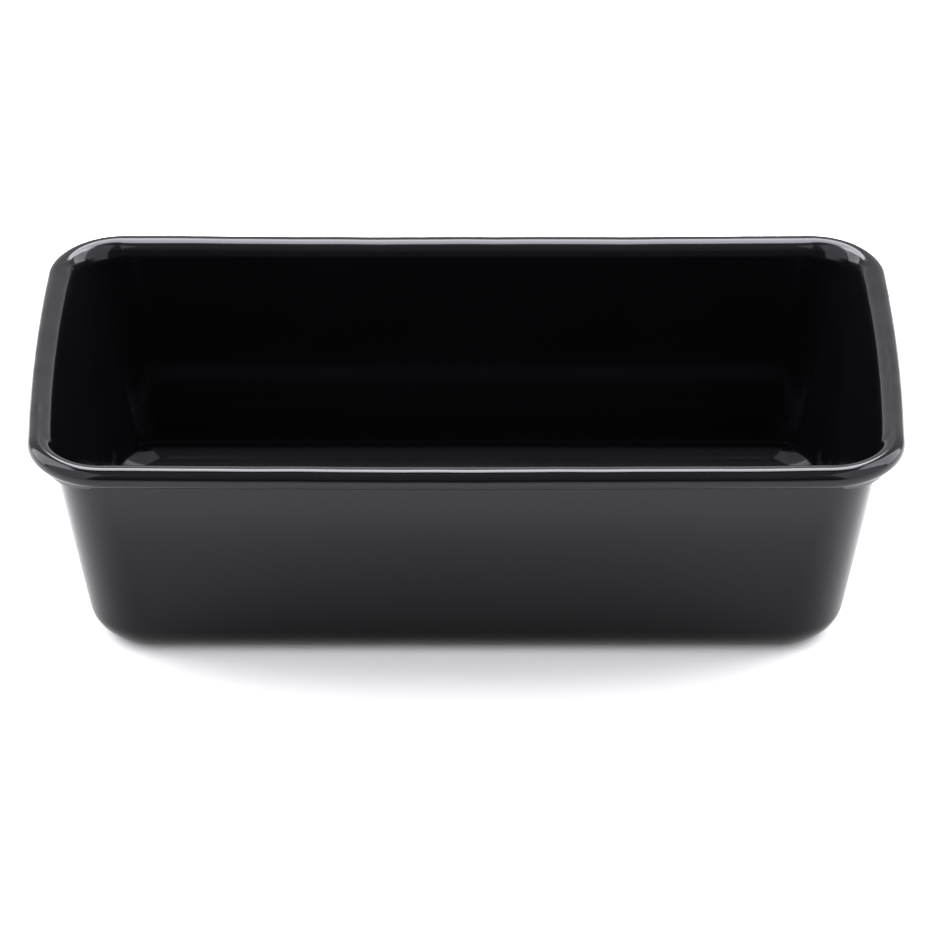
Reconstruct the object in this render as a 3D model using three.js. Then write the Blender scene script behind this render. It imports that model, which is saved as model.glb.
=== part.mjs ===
// A loaf pan: one deep-drawn steel sheet with tapered walls, rounded corners and a rim rolled outwards
// round a stiffening wire, with a glossy non-stick film inside and a satin film outside.
// Millimetres, +Z up, X along the pan. The origin is at the middle of the underside of the base.

import * as THREE from 'three';

// Overall size
const RIM_LENGTH = 265;            // over the rolled rim, at the middle of the two ends
const RIM_WIDTH = 146;             // over the rolled rim, at the middle of the two long sides
const HEIGHT = 76;

// Outline seen from above: a rounded rectangle whose sides bow outwards a little
const END_BOW = 2.6;
const SIDE_BOW = 0.3;
const RIM_CORNER_RADIUS = 22.5;    // outside of the roll
const WALL_CORNER_RADIUS = 13.5;   // inside of the wall, at the foot of the flare
const FOOT_CORNER_RADIUS = 16;     // inside of the wall, where it meets the bend of the base

// Section through a wall
const WALL_LEAN = THREE.MathUtils.degToRad(8.6);
const BASE_BEND_RADIUS = 11.9;     // outside of the bend between base and wall
const FLARE_RADIUS = 10;           // where the wall starts to turn outwards
const FLARE_TURN = THREE.MathUtils.degToRad(26);   // how far from upright the flare turns the sheet
const INNER_ROLL_RADIUS = 3.8;     // from the flare up to the rim's crown
const CROWN_RADIUS = 8;            // the crown, which slopes gently inwards from the rim's highest line
const CROWN_TURN = THREE.MathUtils.degToRad(10);
const ROLL_RADIUS = 3.25;          // the roll outside that line
const TUCK_INSET = 6.4;            // from the rim's outside to the sheet's edge, tucked under the roll

// The sheet's layers, as depths below its upper face: a film, the steel and a film, a fine gap apart
const FILM_THICKNESS = 0.2;
const STEEL_THICKNESS = 0.6;
const LAYER_GAP = 0.1;
const STEEL_TOP = FILM_THICKNESS + LAYER_GAP;
const STEEL_UNDERSIDE = STEEL_TOP + STEEL_THICKNESS;
const OUTER_FILM_TOP = STEEL_UNDERSIDE + LAYER_GAP;
const SHEET_THICKNESS = OUTER_FILM_TOP + FILM_THICKNESS;
const OUTER_FILM_DROP = 5;         // from the rim's top to the outer film's edge, hidden behind the tuck

// The wire in the rim
const WIRE_RADIUS = 1.9;
const WIRE_END_GAP = 0.6;

// How finely the curves are divided
const SIDE_STEPS = 6;
const CORNER_STEPS = 8;
const BEND_STEPS = 4;
const FLARE_STEPS = 2;
const INNER_ROLL_STEPS = 4;
const CROWN_STEPS = 2;
const OUTER_ROLL_STEPS = 8;
const WIRE_SIDES = 12;

// ---- the section through a wall, as distance in from the rim's outside and height ----

// A point of the sheet's upper face, with the direction that the face looks in, as an angle.
function facePoint(inset, z, facing) {
  return { at: new THREE.Vector2(inset, z), facing };
}

// Points round an arc of the upper face. The radius is negative where the face is hollow.
function faceArc(centre, radius, fromFacing, toFacing, steps) {
  return Array.from({ length: steps + 1 }, (_, i) => {
    const facing = THREE.MathUtils.lerp(fromFacing, toFacing, i / steps);
    const inset = centre.x + radius * Math.cos(facing);
    return facePoint(inset, centre.y + radius * Math.sin(facing), facing);
  });
}

const UP = Math.PI / 2;
const DOWN = 3 * Math.PI / 2;
const ROLL_MIDDLE = HEIGHT - ROLL_RADIUS;
const outerRollCentre = new THREE.Vector2(ROLL_RADIUS, ROLL_MIDDLE);
const crownCentre = new THREE.Vector2(ROLL_RADIUS, HEIGHT - CROWN_RADIUS);

// The centre of an arc that carries on smoothly from another arc, at one direction of facing.
function nextCentre(centre, radius, nextRadius, facing) {
  const reach = radius - nextRadius;
  return new THREE.Vector2(centre.x + reach * Math.cos(facing), centre.y + reach * Math.sin(facing));
}

const crownFoot = UP - CROWN_TURN;
const innerRollCentre = nextCentre(crownCentre, CROWN_RADIUS, INNER_ROLL_RADIUS, crownFoot);
const flareCentre = nextCentre(innerRollCentre, INNER_ROLL_RADIUS, FLARE_RADIUS, FLARE_TURN);

const flare = faceArc(flareCentre, FLARE_RADIUS, WALL_LEAN, FLARE_TURN, FLARE_STEPS);
const innerRoll = faceArc(innerRollCentre, INNER_ROLL_RADIUS, FLARE_TURN, crownFoot, INNER_ROLL_STEPS);
const crown = faceArc(crownCentre, CROWN_RADIUS, crownFoot, UP, CROWN_STEPS);
const outerRoll = faceArc(outerRollCentre, ROLL_RADIUS, UP, DOWN, OUTER_ROLL_STEPS);
const tuck = facePoint(TUCK_INSET, HEIGHT - 2 * ROLL_RADIUS, DOWN);

// The wall runs straight down and in from the flare to the bend of the base.
const innerBendRadius = BASE_BEND_RADIUS - SHEET_THICKNESS;
const wallTop = flare[0].at;
const wallFootHeight = BASE_BEND_RADIUS - innerBendRadius * Math.sin(WALL_LEAN);
const wallFootInset = wallTop.x + (wallTop.y - wallFootHeight) * Math.tan(WALL_LEAN);
const bendCentre = new THREE.Vector2(
  wallFootInset + innerBendRadius * Math.cos(WALL_LEAN),
  BASE_BEND_RADIUS,
);
const baseBend = faceArc(bendCentre, -innerBendRadius, UP, WALL_LEAN, BEND_STEPS);

// Corner radius of the upper face's outline. The roll outside the crown keeps one width round the corners,
// and so does the bend of the base; the flare between them tightens the corner and the wall eases it again.
function cornerRadius(inset) {
  const { mapLinear } = THREE.MathUtils;
  const crownCorner = RIM_CORNER_RADIUS - ROLL_RADIUS;
  if (inset <= ROLL_RADIUS) return RIM_CORNER_RADIUS - inset;
  if (inset <= wallTop.x) return mapLinear(inset, ROLL_RADIUS, wallTop.x, crownCorner, WALL_CORNER_RADIUS);
  if (inset >= wallFootInset) return FOOT_CORNER_RADIUS - (inset - wallFootInset);
  return mapLinear(inset, wallTop.x, wallFootInset, WALL_CORNER_RADIUS, FOOT_CORNER_RADIUS);
}

// ---- the outline, seen from above ----

// Points spaced evenly from one point to the next, without the two ends.
function between(start, end) {
  const spots = Array.from({ length: SIDE_STEPS - 1 }, (_, i) => (i + 1) / SIDE_STEPS);
  return spots.map((t) => start.clone().lerp(end, t));
}

// A rounded rectangle, anticlockwise from the middle of the back.
function roundedRectangle(halfLength, halfWidth, radius) {
  const signs = [[-1, 1], [-1, -1], [1, -1], [1, 1]];
  const arcs = signs.map(([xSign, ySign], corner) => {
    const centre = new THREE.Vector2(xSign * (halfLength - radius), ySign * (halfWidth - radius));
    const start = (corner + 1) * Math.PI / 2;
    return Array.from({ length: CORNER_STEPS + 1 }, (_, i) => {
      const angle = start + Math.PI / 2 * i / CORNER_STEPS;
      return new THREE.Vector2(Math.cos(angle), Math.sin(angle)).multiplyScalar(radius).add(centre);
    });
  });
  const points = arcs.flatMap((arc, i) => [...arc, ...between(arc.at(-1), arcs[(i + 1) % 4][0])]);
  const backHalf = SIDE_STEPS / 2;
  return [...points.slice(-backHalf), ...points.slice(0, -backHalf)];
}

// The pan's outline at one inset from the rim's outside: the same rectangle with its sides bowed.
function outline(inset, z, radius) {
  const halfLength = RIM_LENGTH / 2 - END_BOW - inset;
  const halfWidth = RIM_WIDTH / 2 - SIDE_BOW - inset;
  return roundedRectangle(halfLength, halfWidth, radius).map(({ x, y }) => new THREE.Vector3(
    x + END_BOW * (1 - (y / halfWidth) ** 2) * (x / halfLength),
    y + SIDE_BOW * (1 - (x / halfLength) ** 2) * (y / halfWidth),
    z,
  ));
}

// ---- closed surfaces ----

// A closed surface through rings of equally many points. The first and last ring are filled in.
function surfaceThrough(rings) {
  const size = rings[0].length;
  const middle = (ring) => ring.reduce((sum, p) => sum.add(p), new THREE.Vector3()).divideScalar(size);
  const points = [...rings.flat(), middle(rings[0]), middle(rings.at(-1))];
  const firstMiddle = points.length - 2;
  const lastMiddle = points.length - 1;
  const lastRing = (rings.length - 1) * size;
  const triangles = [];
  for (let i = 0; i < size; i += 1) {
    const next = (i + 1) % size;
    triangles.push(firstMiddle, i, next);
    triangles.push(lastMiddle, lastRing + next, lastRing + i);
    for (let start = 0; start < lastRing; start += size) {
      triangles.push(start + i, start + size + i, start + next);
      triangles.push(start + next, start + size + i, start + size + next);
    }
  }
  const geometry = new THREE.BufferGeometry().setFromPoints(points).setIndex(triangles);
  geometry.computeVertexNormals();
  return geometry;
}

// The solid between two depths below the sheet's upper face, along the given stretch of the section.
function sheetLayer(section, topDepth, bottomDepth) {
  const faceAt = (depth) => section.map(({ at, facing }) => {
    const shift = depth * Math.cos(facing);
    return outline(at.x - shift, at.y - depth * Math.sin(facing), cornerRadius(at.x) + shift);
  });
  return surfaceThrough([...faceAt(topDepth), ...faceAt(bottomDepth).reverse()]);
}

// ---- the pieces ----

const wholeSection = [
  ...baseBend,
  ...flare.slice(0, -1),
  ...innerRoll.slice(0, -1),
  ...crown.slice(0, -1),
  ...outerRoll,
  tuck,
];

function shellGeometry() {
  return sheetLayer(wholeSection, STEEL_TOP, STEEL_UNDERSIDE);
}

function interiorCoatingGeometry() {
  return sheetLayer(wholeSection, 0, FILM_THICKNESS);
}

function exteriorCoatingGeometry() {
  const edgeDrop = wallTop.y - (HEIGHT - OUTER_FILM_DROP);
  const edge = facePoint(wallTop.x + edgeDrop * Math.tan(WALL_LEAN), wallTop.y - edgeDrop, WALL_LEAN);
  return sheetLayer([...baseBend, edge], OUTER_FILM_TOP, SHEET_THICKNESS);
}

// The wire follows the rim's outline, and its two ends butt at the middle of the back.
function rimWireGeometry() {
  const strands = Array.from({ length: WIRE_SIDES }, (_, i) => {
    const angle = 2 * Math.PI * i / WIRE_SIDES;
    const inset = outerRollCentre.x - WIRE_RADIUS * Math.cos(angle);
    return outline(inset, ROLL_MIDDLE + WIRE_RADIUS * Math.sin(angle), cornerRadius(inset));
  });
  const sections = strands[0].map((_, i) => strands.map((strand) => strand[i]));
  const shifted = (section, x) => section.map((p) => p.clone().add(new THREE.Vector3(x, 0, 0)));
  const firstEnd = shifted(sections[0], -WIRE_END_GAP / 2);
  const lastEnd = shifted(sections[0], WIRE_END_GAP / 2);
  return surfaceThrough([firstEnd, ...sections.slice(1), lastEnd]);
}

function piece(name, geometry, color, roughness, metalness) {
  const material = new THREE.MeshStandardMaterial({ color, roughness, metalness });
  const mesh = new THREE.Mesh(geometry, material);
  mesh.name = name;
  return mesh;
}

const loafPan = new THREE.Group();
loafPan.name = 'loaf_pan';
loafPan.add(
  piece('pan_shell', shellGeometry(), 0x8a8d91, 0.4, 1),
  piece('rim_wire', rimWireGeometry(), 0x9b9ea2, 0.35, 1),
  piece('interior_coating', interiorCoatingGeometry(), 0x0b0b0c, 0.2, 0),
  piece('exterior_coating', exteriorCoatingGeometry(), 0x232325, 0.5, 0),
);

export default loafPan;
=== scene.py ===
"""A loaf pan for Blender 4.5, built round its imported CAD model: fine meshes for the drawn sheet, its two
films and the wire in its rolled rim, their materials, and a plain studio.

Metres, +Z up, X along the pan, origin at the middle of the underside of the base.
"""

from math import cos, pi, radians, sin, tan

import bmesh
import bpy
import numpy as np
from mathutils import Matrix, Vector


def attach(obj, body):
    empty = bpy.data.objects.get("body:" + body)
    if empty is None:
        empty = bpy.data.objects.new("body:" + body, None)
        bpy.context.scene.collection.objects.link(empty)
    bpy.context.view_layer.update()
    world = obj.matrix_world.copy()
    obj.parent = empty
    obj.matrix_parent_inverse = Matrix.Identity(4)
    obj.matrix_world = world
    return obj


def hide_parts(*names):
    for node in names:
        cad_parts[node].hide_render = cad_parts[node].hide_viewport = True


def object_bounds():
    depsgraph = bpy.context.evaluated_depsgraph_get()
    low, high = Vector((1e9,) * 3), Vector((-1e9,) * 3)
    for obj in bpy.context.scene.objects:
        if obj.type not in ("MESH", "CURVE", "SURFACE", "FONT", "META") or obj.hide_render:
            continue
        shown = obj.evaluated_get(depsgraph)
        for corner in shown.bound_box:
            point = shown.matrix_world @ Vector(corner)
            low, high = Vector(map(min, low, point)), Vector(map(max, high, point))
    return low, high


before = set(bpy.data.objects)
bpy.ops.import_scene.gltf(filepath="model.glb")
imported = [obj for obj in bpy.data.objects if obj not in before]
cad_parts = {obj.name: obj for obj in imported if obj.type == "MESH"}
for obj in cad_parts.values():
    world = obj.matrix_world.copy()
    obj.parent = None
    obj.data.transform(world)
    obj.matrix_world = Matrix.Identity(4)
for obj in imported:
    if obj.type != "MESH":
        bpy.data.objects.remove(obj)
cad_low, cad_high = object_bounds()

MM = 0.001

# ---- the pan's dimensions ----

RIM_LENGTH = cad_high[0] - cad_low[0]
RIM_WIDTH = cad_high[1] - cad_low[1]
HEIGHT = cad_high[2] - cad_low[2]

END_BOW = 2.6 * MM
SIDE_BOW = 0.3 * MM
RIM_CORNER_RADIUS = 22.5 * MM
WALL_CORNER_RADIUS = 13.5 * MM
FOOT_CORNER_RADIUS = 16 * MM
WALL_LEAN = radians(8.6)
BASE_BEND_RADIUS = 11.9 * MM
FLARE_RADIUS = 10 * MM
FLARE_TURN = radians(26)
INNER_ROLL_RADIUS = 3.8 * MM
ROLL_RADIUS = 3.25 * MM
CROWN_RADIUS = 8 * MM
CROWN_TURN = radians(10)
TUCK_INSET = 6.4 * MM

FILM_THICKNESS = 0.2 * MM
STEEL_THICKNESS = 0.6 * MM
LAYER_GAP = 0.1 * MM
STEEL_TOP = FILM_THICKNESS + LAYER_GAP
STEEL_UNDERSIDE = STEEL_TOP + STEEL_THICKNESS
OUTER_FILM_TOP = STEEL_UNDERSIDE + LAYER_GAP
SHEET_THICKNESS = OUTER_FILM_TOP + FILM_THICKNESS
OUTER_FILM_DROP = 5 * MM
WIRE_RADIUS = 1.9 * MM
WIRE_END_GAP = 0.6 * MM

# What drawing and rolling leave in the sheet: the rim dips towards the middle of each side, the roll
# wavers a little along its length, and the flare reaches further down the wall at the corners.
RIM_DIP = 0.9 * MM
ROLL_WAVER = 0.06 * MM
CORNER_FLARE_DROP = 2.5 * MM
CORNER_FLARE_FULLNESS = 0.7

# The waver's waves: how many go round the rim, their phase, and their share of ROLL_WAVER.
WAVER_WAVES = ((9, 0.7, 1.0), (23, 2.1, 0.6), (41, 0.0, 0.4))

# ---- how finely the surfaces are divided ----

SIDE_STEPS = 48
CORNER_STEPS = 32
BEND_STEPS = 12
WALL_STEPS = 16
FLARE_STEPS = 6
INNER_ROLL_STEPS = 10
CROWN_STEPS = 3
OUTER_ROLL_STEPS = 28
TUCK_STEPS = 5
FLOOR_STEPS = 8
EDGE_STEPS = 4
WIRE_SIDES = 24

UP = pi / 2
DOWN = 3 * pi / 2


# ---- the section through a wall: rows of inset from the rim's outside, height, and facing angle ----

def face_arc(inset, z, radius, from_facing, to_facing, steps):
    """Points round an arc of the sheet's upper face. The radius is negative where the face is hollow."""
    facing = np.linspace(from_facing, to_facing, steps + 1)
    return np.column_stack((inset + radius * np.cos(facing), z + radius * np.sin(facing), facing))


def next_centre(inset, z, radius, next_radius, facing):
    """The centre of an arc that carries on smoothly from another one, where that one faces this way."""
    radius_step = radius - next_radius
    return inset + radius_step * cos(facing), z + radius_step * sin(facing)


def straight(start, end, steps):
    """Points from one row to the next, without the two ends. Both ends face the same way."""
    t = np.linspace(0, 1, steps + 1)[1:-1, None]
    return start + (end - start) * t


roll_middle = HEIGHT - ROLL_RADIUS
crown_foot = UP - CROWN_TURN
crown_z = HEIGHT - CROWN_RADIUS
crown_middle = (ROLL_RADIUS, crown_z)
inner_roll_middle = next_centre(*crown_middle, CROWN_RADIUS, INNER_ROLL_RADIUS, crown_foot)
flare_middle = next_centre(*inner_roll_middle, INNER_ROLL_RADIUS, FLARE_RADIUS, FLARE_TURN)
flare = face_arc(*flare_middle, FLARE_RADIUS, WALL_LEAN, FLARE_TURN, FLARE_STEPS)
inner_roll = face_arc(*inner_roll_middle, INNER_ROLL_RADIUS, FLARE_TURN, crown_foot, INNER_ROLL_STEPS)
crown = face_arc(*crown_middle, CROWN_RADIUS, crown_foot, UP, CROWN_STEPS)
outer_roll = face_arc(ROLL_RADIUS, roll_middle, ROLL_RADIUS, UP, DOWN, OUTER_ROLL_STEPS)
tuck = np.array([[TUCK_INSET, HEIGHT - 2 * ROLL_RADIUS, DOWN]])

inner_bend_radius = BASE_BEND_RADIUS - SHEET_THICKNESS
wall_top_inset, wall_top_z = flare[0, :2]
wall_foot_z = BASE_BEND_RADIUS - inner_bend_radius * sin(WALL_LEAN)
wall_foot_inset = wall_top_inset + (wall_top_z - wall_foot_z) * tan(WALL_LEAN)
bend_inset = wall_foot_inset + inner_bend_radius * cos(WALL_LEAN)
base_bend = face_arc(bend_inset, BASE_BEND_RADIUS, -inner_bend_radius, UP, WALL_LEAN, BEND_STEPS)

whole_section = np.vstack((
    base_bend,
    straight(base_bend[-1], flare[0], WALL_STEPS),
    flare[:-1],
    inner_roll[:-1],
    crown[:-1],
    outer_roll,
    straight(outer_roll[-1], tuck[0], TUCK_STEPS),
    tuck,
))


def corner_radius(inset):
    """Corner radius of the upper face's outline at one inset."""
    if inset <= ROLL_RADIUS:
        return RIM_CORNER_RADIUS - inset
    if inset >= wall_foot_inset:
        return FOOT_CORNER_RADIUS - (inset - wall_foot_inset)
    insets = (ROLL_RADIUS, wall_top_inset, wall_foot_inset)
    radii = (RIM_CORNER_RADIUS - ROLL_RADIUS, WALL_CORNER_RADIUS, FOOT_CORNER_RADIUS)
    return np.interp(inset, insets, radii)


# ---- the outline, seen from above ----

def rounded_rectangle(half_length, half_width, radius):
    """Points anticlockwise from the middle of the back."""
    arcs = []
    for corner, (x_sign, y_sign) in enumerate(((-1, 1), (-1, -1), (1, -1), (1, 1))):
        angle = (corner + 1) * pi / 2 + np.linspace(0, pi / 2, CORNER_STEPS + 1)
        centre = np.array([x_sign * (half_length - radius), y_sign * (half_width - radius)])
        arcs.append(centre + radius * np.column_stack((np.cos(angle), np.sin(angle))))
    parts = []
    for i, arc in enumerate(arcs):
        parts += [arc, straight(arc[-1], arcs[(i + 1) % 4][0], SIDE_STEPS)]
    return np.roll(np.vstack(parts), SIDE_STEPS // 2, axis=0)


def outline(inset, z, radius):
    """The pan's outline at one inset from the rim's outside: the rectangle with its sides bowed."""
    half_length = RIM_LENGTH / 2 - END_BOW - inset
    half_width = RIM_WIDTH / 2 - SIDE_BOW - inset
    flat = rounded_rectangle(half_length, half_width, radius)
    along, across = flat[:, 0] / half_length, flat[:, 1] / half_width
    ring = np.empty((len(flat), 3))
    ring[:, 0] = flat[:, 0] + END_BOW * (1 - across ** 2) * along
    ring[:, 1] = flat[:, 1] + SIDE_BOW * (1 - along ** 2) * across
    ring[:, 2] = z + rim_lift(ring[:, 0], ring[:, 1], z)
    return ring


def rim_lift(x, y, z):
    """How far the rim stands above its mean height: up at the corners, down in the middle of the sides."""
    along, across = x / (RIM_LENGTH / 2), y / (RIM_WIDTH / 2)
    dip = RIM_DIP * (along ** 2 * across ** 2 - 0.5)
    angle = np.arctan2(across, along)
    waver = ROLL_WAVER * sum(part * np.sin(count * angle + phase) for count, phase, part in WAVER_WAVES)
    share = np.clip(z / HEIGHT, 0, 1)
    return dip * share ** 2 + waver * share ** 8


def corner_share():
    """How far into a corner each point of an outline is: 1 at the corner's middle, 0 along the sides."""
    bend = np.sin(np.linspace(0, pi, CORNER_STEPS + 1)) ** CORNER_FLARE_FULLNESS
    corner = np.concatenate((bend, np.zeros(SIDE_STEPS - 1)))
    return np.roll(np.tile(corner, 4), SIDE_STEPS // 2)


cornerness = corner_share()


def flare_share(inset, z, facing):
    """How much of the corner's deeper flare a row of the section takes: all of it at the wall's top."""
    if inset <= ROLL_RADIUS:
        return 0
    if z >= wall_top_z:
        return (1 - sin(facing)) / (1 - sin(WALL_LEAN))
    return max(0, (z - wall_foot_z) / (wall_top_z - wall_foot_z))


# ---- closed surfaces ----

def mesh_through(name, rings):
    """A closed mesh through rings of equally many points. The first and last ring are filled in."""
    size = len(rings[0])
    points = np.vstack(list(rings) + [rings[0].mean(axis=0), rings[-1].mean(axis=0)])
    first_middle, last_middle = len(points) - 2, len(points) - 1
    last_ring = (len(rings) - 1) * size
    faces = []
    for i in range(size):
        after = (i + 1) % size
        faces.append((first_middle, i, after))
        faces.append((last_middle, last_ring + after, last_ring + i))
        for start in range(0, last_ring, size):
            faces.append((start + i, start + size + i, start + size + after, start + after))
    mesh = bpy.data.meshes.new(name)
    mesh.from_pydata(points.tolist(), [], faces)
    mesh.validate()
    mesh.shade_smooth()
    obj = bpy.data.objects.new(name, mesh)
    bpy.context.scene.collection.objects.link(obj)
    return obj


def floor_rings(edge):
    """Rings that shrink from the flat's edge towards its middle, outermost last."""
    middle = edge.mean(axis=0)
    return [middle + (edge - middle) * share for share in np.linspace(0, 1, FLOOR_STEPS + 1)[1:-1]]


def face_ring(row, depth, shift=0.0):
    """The ring at one row of the section, below the upper face, and moved along the section by shift."""
    inset, z, facing = row
    onward = facing + pi / 2
    moved = depth * cos(facing) - shift * cos(onward)
    lowered = depth * sin(facing) - shift * sin(onward)
    ring = outline(inset - moved, z - lowered, corner_radius(inset) + moved)
    ring[:, 2] -= CORNER_FLARE_DROP * flare_share(inset, z, facing) * cornerness
    return ring


def sheet_layer(name, section, top_depth, bottom_depth):
    """The solid between two depths below the upper face, with a rounded edge at the section's end."""
    top = [face_ring(row, top_depth) for row in section]
    bottom = [face_ring(row, bottom_depth) for row in section]
    middle_depth = (top_depth + bottom_depth) / 2
    half = (bottom_depth - top_depth) / 2
    edge = []
    for angle in np.linspace(0, pi, EDGE_STEPS + 1)[1:-1]:
        edge.append(face_ring(section[-1], middle_depth - half * cos(angle), half * sin(angle)))
    rings = floor_rings(top[0]) + top + edge + bottom[::-1] + floor_rings(bottom[0])[::-1]
    return mesh_through(name, rings)


# ---- the pieces ----

def steel_sheet():
    return sheet_layer("drawn_sheet", whole_section, STEEL_TOP, STEEL_UNDERSIDE)


def inner_film():
    return sheet_layer("gloss_lining", whole_section, 0.0, FILM_THICKNESS)


def outer_film():
    edge_z = HEIGHT - OUTER_FILM_DROP
    edge_inset = wall_top_inset + (wall_top_z - edge_z) * tan(WALL_LEAN)
    edge = np.array([[edge_inset, edge_z, WALL_LEAN]])
    section = np.vstack((base_bend, straight(base_bend[-1], edge[0], WALL_STEPS), edge))
    return sheet_layer("satin_outside", section, OUTER_FILM_TOP, SHEET_THICKNESS)


def wire_in_roll():
    """The wire follows the rim, and its two ends butt at the middle of the back."""
    strands = []
    for i in range(WIRE_SIDES):
        angle = 2 * pi * i / WIRE_SIDES
        inset = ROLL_RADIUS - WIRE_RADIUS * cos(angle)
        strands.append(outline(inset, roll_middle + WIRE_RADIUS * sin(angle), corner_radius(inset)))
    sections = list(np.stack(strands, axis=1))
    nudge = np.array([WIRE_END_GAP / 2, 0, 0])
    return mesh_through("wire_ring", [sections[0] - nudge] + sections[1:] + [sections[0] + nudge])


# ---- materials ----

FILM_IOR = 1.35
FULL_SPECULAR = 0.5  # leaves the gloss as the refractive index gives it

# Nearly all of a noise texture's values lie between these two.
NOISE_LOW = 0.3
NOISE_HIGH = 0.7


class NodeTree:
    """Short ways to add and join shader nodes."""

    def __init__(self, name):
        self.material = bpy.data.materials.new(name)
        self.material.use_nodes = True
        self.nodes = self.material.node_tree.nodes
        self.links = self.material.node_tree.links
        self.shader = self.nodes["Principled BSDF"]
        self.place = self.nodes.new("ShaderNodeTexCoord").outputs["Object"]

    def join(self, value, socket):
        if isinstance(value, bpy.types.NodeSocket):
            self.links.new(value, socket)
        else:
            socket.default_value = value

    def noise(self, size, detail=2.0, stretch=(1, 1, 1)):
        """Noise whose features are about size metres across, longer where stretch is above 1."""
        mapping = self.nodes.new("ShaderNodeMapping")
        mapping.inputs["Scale"].default_value = [1 / s for s in stretch]
        self.links.new(self.place, mapping.inputs["Vector"])
        node = self.nodes.new("ShaderNodeTexNoise")
        node.inputs["Scale"].default_value = 1 / size
        node.inputs["Detail"].default_value = detail
        self.links.new(mapping.outputs["Vector"], node.inputs["Vector"])
        return node.outputs["Fac"]

    def between(self, amount, low, high):
        """Turns noise into a value from low to high."""
        node = self.nodes.new("ShaderNodeMapRange")
        self.join(amount, node.inputs["Value"])
        node.inputs["From Min"].default_value = NOISE_LOW
        node.inputs["From Max"].default_value = NOISE_HIGH
        node.inputs["To Min"].default_value = low
        node.inputs["To Max"].default_value = high
        return node.outputs["Result"]

    def mix(self, amount, first, second):
        node = self.nodes.new("ShaderNodeMix")
        node.data_type = "RGBA"
        self.join(amount, node.inputs["Factor"])
        self.join(first, node.inputs["A"])
        self.join(second, node.inputs["B"])
        return node.outputs["Result"]

    def by_height(self, low_z, low, high_z, high):
        """A value that changes with height above the pan's underside."""
        split = self.nodes.new("ShaderNodeSeparateXYZ")
        self.links.new(self.place, split.inputs["Vector"])
        node = self.nodes.new("ShaderNodeMapRange")
        self.links.new(split.outputs["Z"], node.inputs["Value"])
        node.inputs["From Min"].default_value = low_z
        node.inputs["From Max"].default_value = high_z
        node.inputs["To Min"].default_value = low
        node.inputs["To Max"].default_value = high
        return node.outputs["Result"]

    def bump(self, height, depth):
        node = self.nodes.new("ShaderNodeBump")
        node.inputs["Distance"].default_value = depth
        self.join(height, node.inputs["Height"])
        return node.outputs["Normal"]

    def set(self, **values):
        """Sets the shader's inputs, named with underscores for spaces, to values or sockets."""
        for key, value in values.items():
            self.join(value, self.shader.inputs[key.replace("_", " ")])


def gloss_nonstick():
    """The glossy film: near black, faintly clouded, with a very fine orange peel, and with painted shade
    low down, where its reflection is weakened.
    """
    dark = (0.0014, 0.0014, 0.0018, 1)
    light = (0.0019, 0.0019, 0.0024, 1)
    smoothest, roughest = 0.10, 0.13
    peel_depth = 0.004 * MM
    sheen_tint = (0.93, 0.91, 1.0, 1)
    # Painted shade: the reflection level is lowered towards the pan's floor, to darken the lower inside.
    painted_shade_specular = 0.36
    painted_shade_below, painted_shade_ends_above = 45 * MM, 66 * MM

    tree = NodeTree("gloss_nonstick")
    clouding = tree.noise(30 * MM, 3)
    peel = tree.noise(1.6 * MM, 2)
    tree.set(Base_Color=tree.mix(clouding, dark, light))
    tree.set(Roughness=tree.between(clouding, smoothest, roughest))
    tree.set(Normal=tree.bump(peel, peel_depth))
    tree.set(IOR=FILM_IOR, Specular_Tint=sheen_tint)
    # Painted shade: weaker reflection low in the pan stands in for shade there.
    tree.set(Specular_IOR_Level=tree.by_height(painted_shade_below, painted_shade_specular, painted_shade_ends_above, FULL_SPECULAR))
    return tree.material


def satin_film():
    """The satin film: near black, clouded, with a fine grain, and with painted shade towards the base,
    where its reflection is weakened.
    """
    dark = (0.0009, 0.0008, 0.0009, 1)
    light = (0.0013, 0.0012, 0.0013, 1)
    smoothest, roughest = 0.16, 0.20
    grain_depth = 0.006 * MM
    sheen_tint = (0.98, 0.94, 1.0, 1)
    # Painted shade: the reflection level is lowered towards the base, to darken the lower outside wall.
    painted_shade_specular = 0.28
    painted_shade_below, painted_shade_ends_above = 4 * MM, 56 * MM

    tree = NodeTree("satin_film")
    clouding = tree.noise(45 * MM, 3)
    grain = tree.noise(0.7 * MM, 2)
    tree.set(Base_Color=tree.mix(clouding, dark, light))
    tree.set(Roughness=tree.between(clouding, smoothest, roughest))
    tree.set(Normal=tree.bump(grain, grain_depth))
    tree.set(IOR=FILM_IOR, Specular_Tint=sheen_tint)
    # Painted shade: weaker reflection low on the wall stands in for shade near the floor.
    tree.set(Specular_IOR_Level=tree.by_height(painted_shade_below, painted_shade_specular, painted_shade_ends_above, FULL_SPECULAR))
    return tree.material


def rolled_steel():
    """Bare steel with fine rolling lines along the pan."""
    dark = (0.42, 0.43, 0.45, 1)
    light = (0.55, 0.56, 0.58, 1)
    smoothest, roughest = 0.3, 0.42
    line_depth = 0.01 * MM

    tree = NodeTree("rolled_steel")
    lines = tree.noise(0.3 * MM, 2, stretch=(40, 1, 1))
    tree.set(Base_Color=tree.mix(lines, dark, light), Metallic=1.0)
    tree.set(Roughness=tree.between(lines, smoothest, roughest))
    tree.set(Normal=tree.bump(lines, line_depth))
    return tree.material


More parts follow.
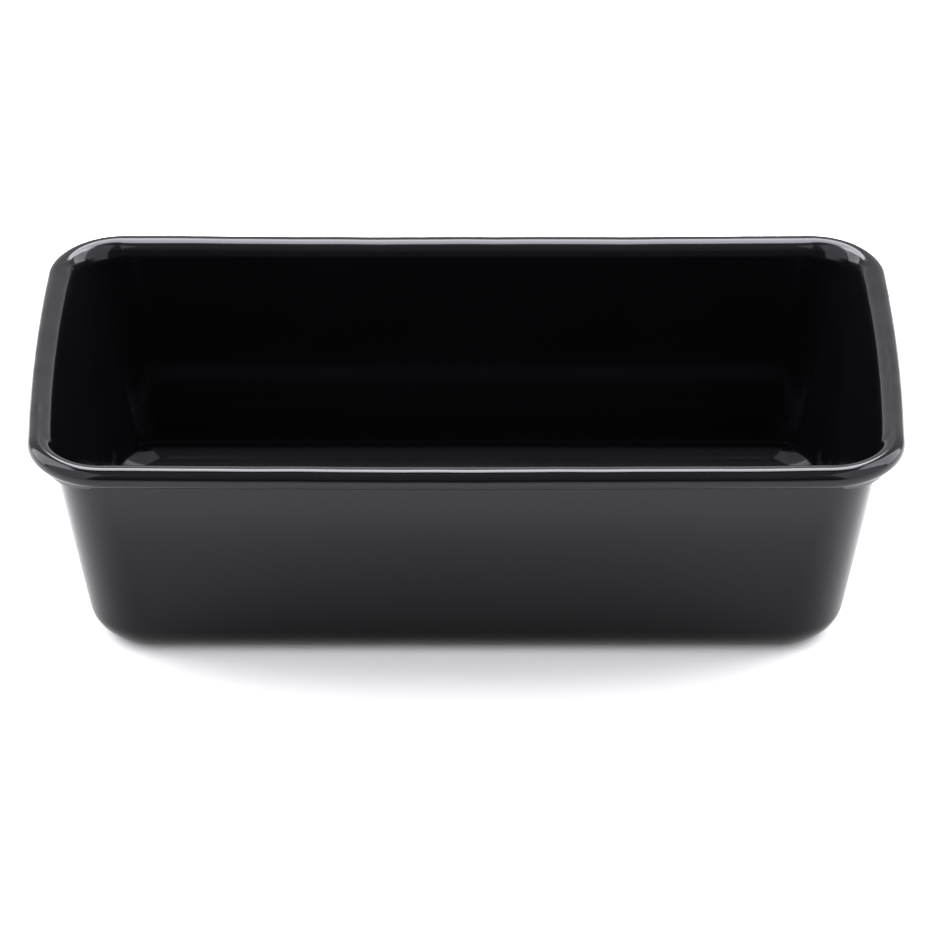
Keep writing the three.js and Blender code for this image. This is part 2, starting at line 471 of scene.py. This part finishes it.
def bright_wire():
    """Bright drawn wire with small specks."""
    dark = (0.50, 0.51, 0.52, 1)
    light = (0.62, 0.63, 0.64, 1)
    smoothest, roughest = 0.22, 0.36
    speck_depth = 0.01 * MM

    tree = NodeTree("bright_wire")
    specks = tree.noise(0.5 * MM, 3)
    tree.set(Base_Color=tree.mix(specks, dark, light), Metallic=1.0)
    tree.set(Roughness=tree.between(specks, smoothest, roughest))
    tree.set(Normal=tree.bump(specks, speck_depth))
    return tree.material


def dress(obj, material, node):
    """Gives a piece its material, hangs it under the root body, and hides the CAD node it stands for."""
    obj.data.materials.append(material)
    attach(obj, "root")
    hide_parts(node)


dress(steel_sheet(), rolled_steel(), "pan_shell")
dress(wire_in_roll(), bright_wire(), "rim_wire")
dress(inner_film(), gloss_nonstick(), "interior_coating")
dress(outer_film(), satin_film(), "exterior_coating")


# ---- the studio ----

FLOOR_RADIUS = 6.0
FLOOR_SEGMENTS = 96
FLOOR_TINT = (0.88, 0.88, 0.89, 1)
FLOOR_ROUGHNESS = 0.9


def studio_floor():
    mesh = bpy.data.meshes.new("studio_floor")
    builder = bmesh.new()
    bmesh.ops.create_circle(builder, cap_ends=True, segments=FLOOR_SEGMENTS, radius=FLOOR_RADIUS)
    builder.to_mesh(mesh)
    builder.free()
    floor = bpy.data.objects.new("studio_floor", mesh)
    bpy.context.scene.collection.objects.link(floor)
    tree = NodeTree("pale_floor")
    tree.set(Base_Color=FLOOR_TINT, Roughness=FLOOR_ROUGHNESS)
    mesh.materials.append(tree.material)


# Lit panels round the pan: azimuth from straight behind towards +X, elevation, how far each spans across
# and upright, all in degrees, and radiance.
PANELS = (
    ("right_softbox", 75, 31, 36, 62, 6.0),
    ("left_softbox", -75, 31, 36, 62, 6.0),
    ("right_card", 124, 32, 60, 64, 1.9),
    ("left_card", -124, 32, 60, 64, 1.9),
    ("front_fill", 180, 78, 60, 20, 0.5),
    ("front_card", 180, 45, 60, 44, 0.3),
)
PANEL_DISTANCE = 1.6
LIGHT_TINT = (0.985, 0.985, 1.0)

# The level softbox above the pan: where its front and back edges are along Y, and the rest.
OVERHEAD_FRONT = 0.046
OVERHEAD_BACK = 0.39
OVERHEAD_HEIGHT = 0.376
OVERHEAD_WIDTH = 0.40
OVERHEAD_RADIANCE = 15.5


def area_light(name, place, towards, width, length, radiance):
    """A rectangular light at a place, shining back along the direction towards it."""
    data = bpy.data.lights.new(name, "AREA")
    data.shape = "RECTANGLE"
    data.size = width
    data.size_y = length
    data.energy = radiance * pi * width * length
    data.color = LIGHT_TINT
    light = bpy.data.objects.new(name, data)
    light.location = place
    light.rotation_euler = (-towards).to_track_quat("-Z", "Y").to_euler()
    bpy.context.scene.collection.objects.link(light)


def lit_panel(name, azimuth, elevation, across, upright, radiance):
    """A light that faces the pan and spans the given angles as the pan sees it."""
    turn, rise = radians(azimuth), radians(elevation)
    towards = Vector((sin(turn) * cos(rise), cos(turn) * cos(rise), sin(rise)))
    width = 2 * PANEL_DISTANCE * tan(radians(across / 2))
    length = 2 * PANEL_DISTANCE * tan(radians(upright / 2))
    place = towards * PANEL_DISTANCE + Vector((0, 0, HEIGHT / 2))
    area_light(name, place, towards, width, length, radiance)


def overhead_softbox():
    """A level softbox close above the pan, from just behind its middle backwards."""
    place = Vector((0, (OVERHEAD_FRONT + OVERHEAD_BACK) / 2, OVERHEAD_HEIGHT))
    length = OVERHEAD_BACK - OVERHEAD_FRONT
    area_light("overhead_softbox", place, Vector((0, 0, 1)), OVERHEAD_WIDTH, length, OVERHEAD_RADIANCE)


# The room brightens towards the backdrop. BACKDROP_FADE says where that starts and ends, as the Y of a
# direction, which is 1 straight behind the pan.
ROOM_TINT = (0.97, 0.97, 1, 1)
ROOM_STRENGTH = 0.2
BACKDROP_STRENGTH = 1.2
BACKDROP_FADE = (0.2, 0.9)


def studio_world():
    """A dim room with a bright backdrop behind the pan."""
    world = bpy.data.worlds.new("studio_world")
    world.use_nodes = True
    nodes, links = world.node_tree.nodes, world.node_tree.links
    background = nodes["Background"]
    direction = nodes.new("ShaderNodeTexCoord").outputs["Generated"]
    split = nodes.new("ShaderNodeSeparateXYZ")
    links.new(direction, split.inputs["Vector"])
    behind = nodes.new("ShaderNodeMapRange")
    behind.inputs["From Min"].default_value = BACKDROP_FADE[0]
    behind.inputs["From Max"].default_value = BACKDROP_FADE[1]
    behind.inputs["To Min"].default_value = ROOM_STRENGTH
    behind.inputs["To Max"].default_value = BACKDROP_STRENGTH
    links.new(split.outputs["Y"], behind.inputs["Value"])
    links.new(behind.outputs["Result"], background.inputs["Strength"])
    background.inputs["Color"].default_value = ROOM_TINT
    bpy.context.scene.world = world


CAMERA_ELEVATION = radians(31.7)
CAMERA_DISTANCE = 1.83
CAMERA_TARGET = Vector((0.0026, 0, 0.0307))
CAMERA_LENS = 224
CAMERA_SENSOR = 36
CAMERA_REACH = 50


def studio_camera():
    data = bpy.data.cameras.new("camera")
    data.lens = CAMERA_LENS
    data.sensor_width = CAMERA_SENSOR
    data.clip_end = CAMERA_REACH
    camera = bpy.data.objects.new("camera", data)
    back = Vector((0, -cos(CAMERA_ELEVATION), sin(CAMERA_ELEVATION)))
    camera.location = CAMERA_TARGET + CAMERA_DISTANCE * back
    camera.rotation_euler = (pi / 2 - CAMERA_ELEVATION, 0, 0)
    bpy.context.scene.collection.objects.link(camera)
    bpy.context.scene.camera = camera


studio_floor()
studio_world()
studio_camera()
overhead_softbox()
for panel in PANELS:
    lit_panel(*panel)

bpy.context.scene.view_settings.view_transform = "Standard"
bpy.context.scene.view_settings.look = "None"
